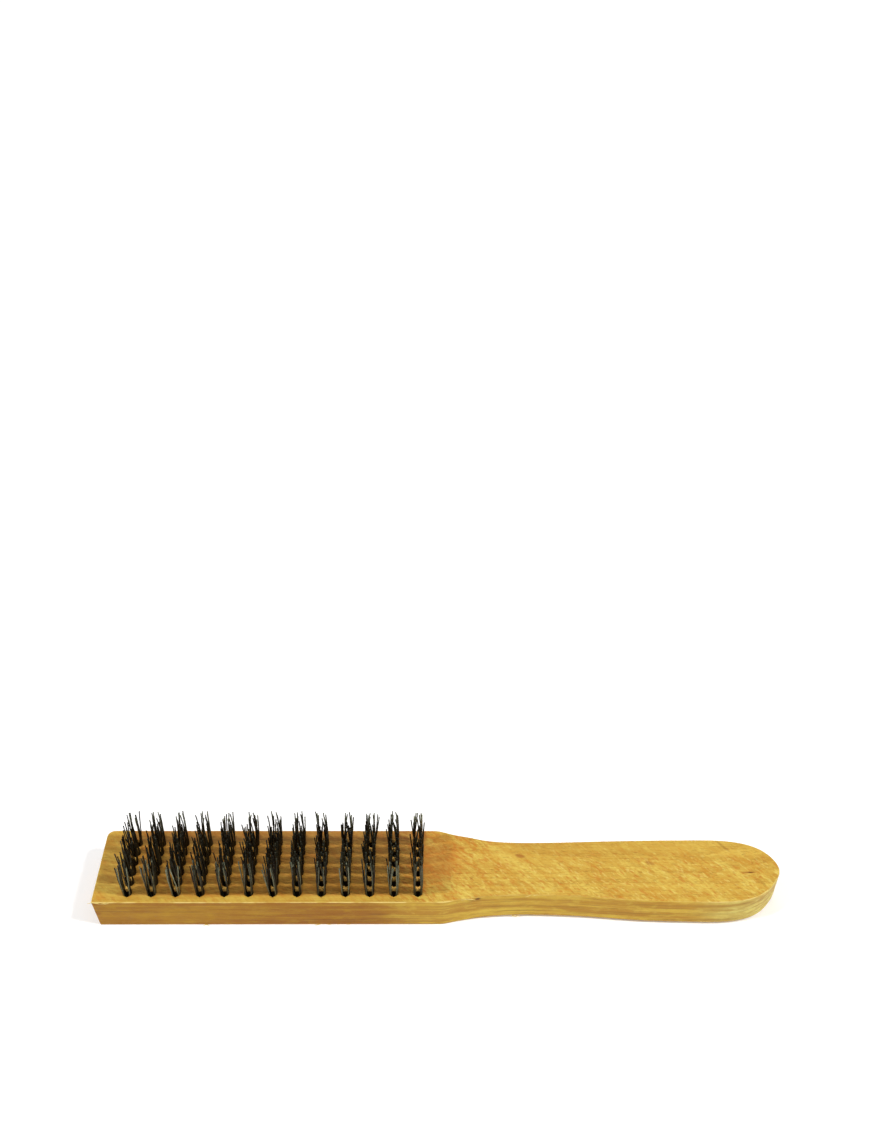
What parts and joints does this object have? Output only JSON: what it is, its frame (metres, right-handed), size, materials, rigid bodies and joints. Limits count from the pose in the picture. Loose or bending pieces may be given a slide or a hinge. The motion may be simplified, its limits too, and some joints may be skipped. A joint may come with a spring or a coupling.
{
  "type": "wire brush",
  "caption": "Hand-held wire brush: a flat hardwood block with a waisted, round-nosed grip, and a grid of folded steel wire tufts held in blind holes by flat anchors.",
  "frame": {"origin": "on the flat back of the block, below the middle of the whole brush's bounding box", "axes": "+X runs from the head to the grip's nose; +Y runs across the block, to the left when looking along +X with the wires up; +Z points away from the flat back, along the wires"},
  "size_m": [0.288, 0.0368, 0.0356],
  "materials": {
    "wood": "sanded bare hardwood with a thin clear coat, yellow-orange",
    "wire_steel": "dark tempered, lightly oiled carbon steel wire",
    "anchor_steel": "bright drawn flat steel wire"
  },
  "bodies": {
    "root": {"handle_block": "wood", "anchors_column_01": "anchor_steel", "anchors_column_02": "anchor_steel", "anchors_column_03": "anchor_steel", "anchors_column_04": "anchor_steel", "anchors_column_05": "anchor_steel", "anchors_column_06": "anchor_steel", "anchors_column_07": "anchor_steel", "anchors_column_08": "anchor_steel", "anchors_column_09": "anchor_steel", "anchors_column_10": "anchor_steel", "anchors_column_11": "anchor_steel", "anchors_column_12": "anchor_steel", "anchors_column_13": "anchor_steel", "tufts_column_01": "wire_steel", "tufts_column_02": "wire_steel", "tufts_column_03": "wire_steel", "tufts_column_04": "wire_steel", "tufts_column_05": "wire_steel", "tufts_column_06": "wire_steel", "tufts_column_07": "wire_steel", "tufts_column_08": "wire_steel", "tufts_column_09": "wire_steel", "tufts_column_10": "wire_steel", "tufts_column_11": "wire_steel", "tufts_column_12": "wire_steel", "tufts_column_13": "wire_steel"}
  },
  "joints": []
}
